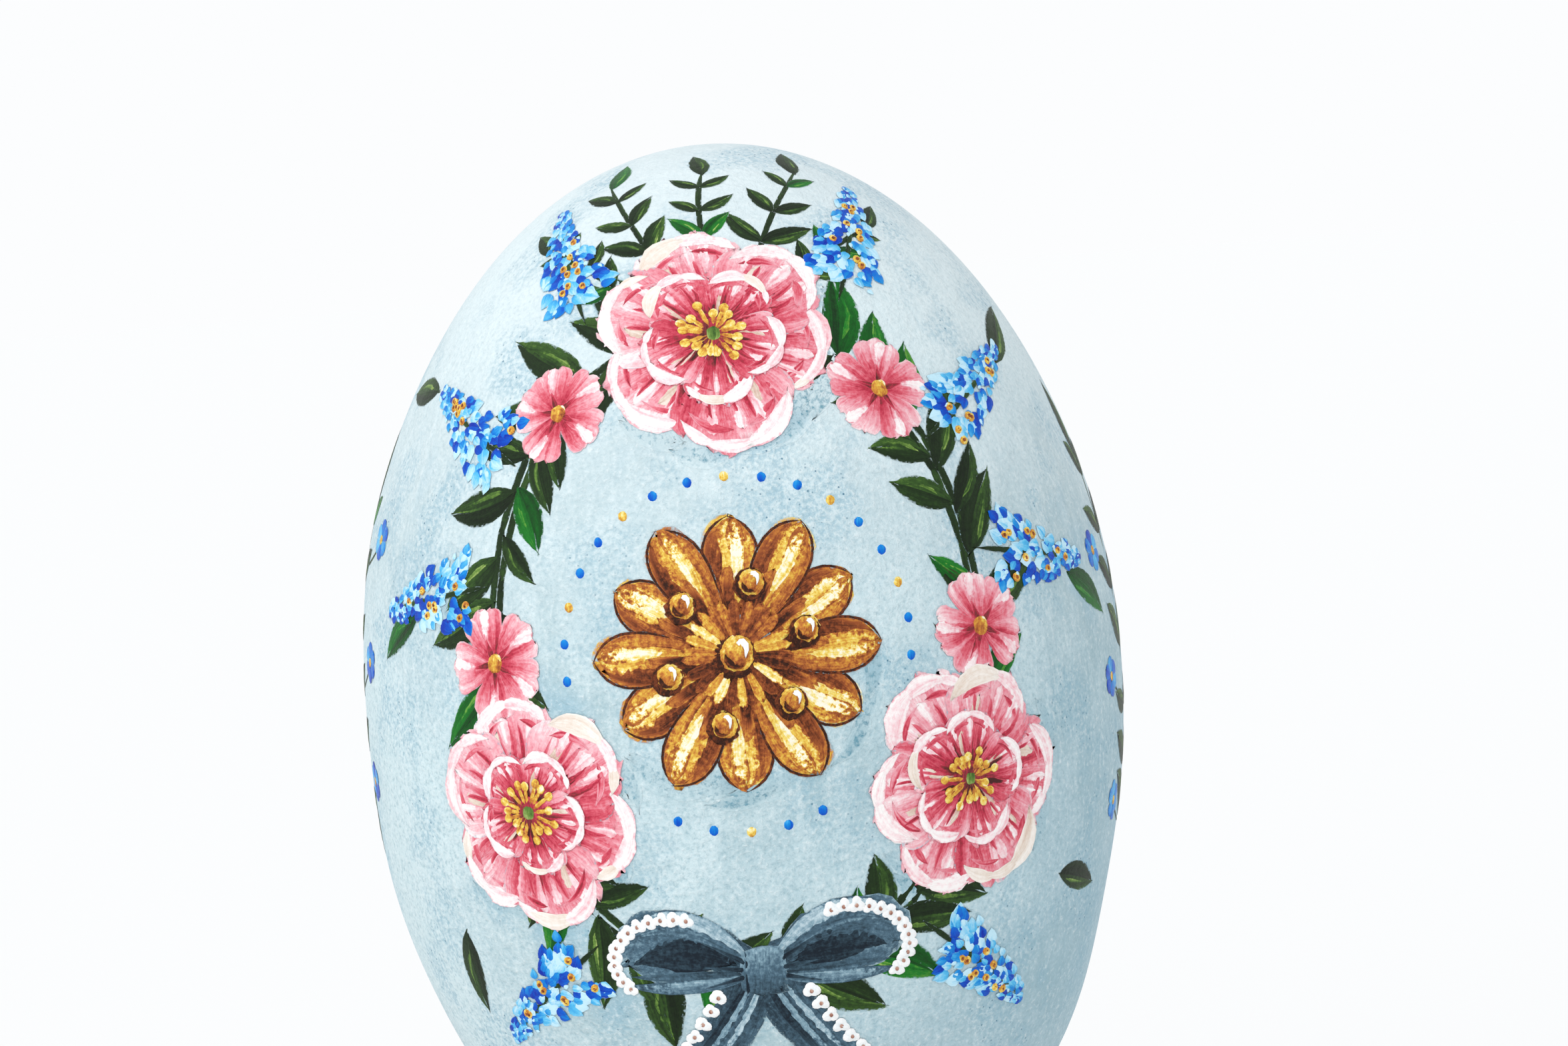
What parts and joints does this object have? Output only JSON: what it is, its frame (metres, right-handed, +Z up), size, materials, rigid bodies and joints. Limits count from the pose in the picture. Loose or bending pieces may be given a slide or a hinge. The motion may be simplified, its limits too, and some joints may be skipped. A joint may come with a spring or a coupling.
{
  "type": "decorative egg on stand",
  "caption": "Hand-painted wooden egg that stands on a peg in the felt-lined cup of a turned wooden stand; the egg turns with the peg and lifts off it.",
  "frame": {"origin": "on the table, under the egg's axis, at the underside of the felt pad", "axes": "+Z up along the egg's axis; -Y towards the camera of the picture"},
  "size_m": [0.07, 0.07, 0.1395],
  "materials": {
    "egg_paint": "matte hand-painted acrylic on turned limewood",
    "peg_wood": "plain birch dowel",
    "stand_wood": "satin clear varnish on turned beech",
    "felt": "dense wool felt",
    "screw_steel": "zinc plated"
  },
  "bodies": {
    "stand": {"stand_foot": "stand_wood", "stand_stem": "stand_wood", "stand_cup": "stand_wood", "seat_felt": "felt", "stem_screw": "screw_steel", "foot_pad": "felt"},
    "peg": {"locating_peg": "peg_wood"},
    "egg": {"egg_body": "egg_paint"}
  },
  "joints": [
    {"name": "egg_turn", "type": "hinge", "parent": "stand", "child": "peg", "pos_m": [0, 0, 0.034], "axis": [0, 0, 1], "continuous": true},
    {"name": "egg_lift", "type": "slide", "parent": "peg", "child": "egg", "axis": [0, 0, 1], "range_m": [0, 0.06]}
  ]
}
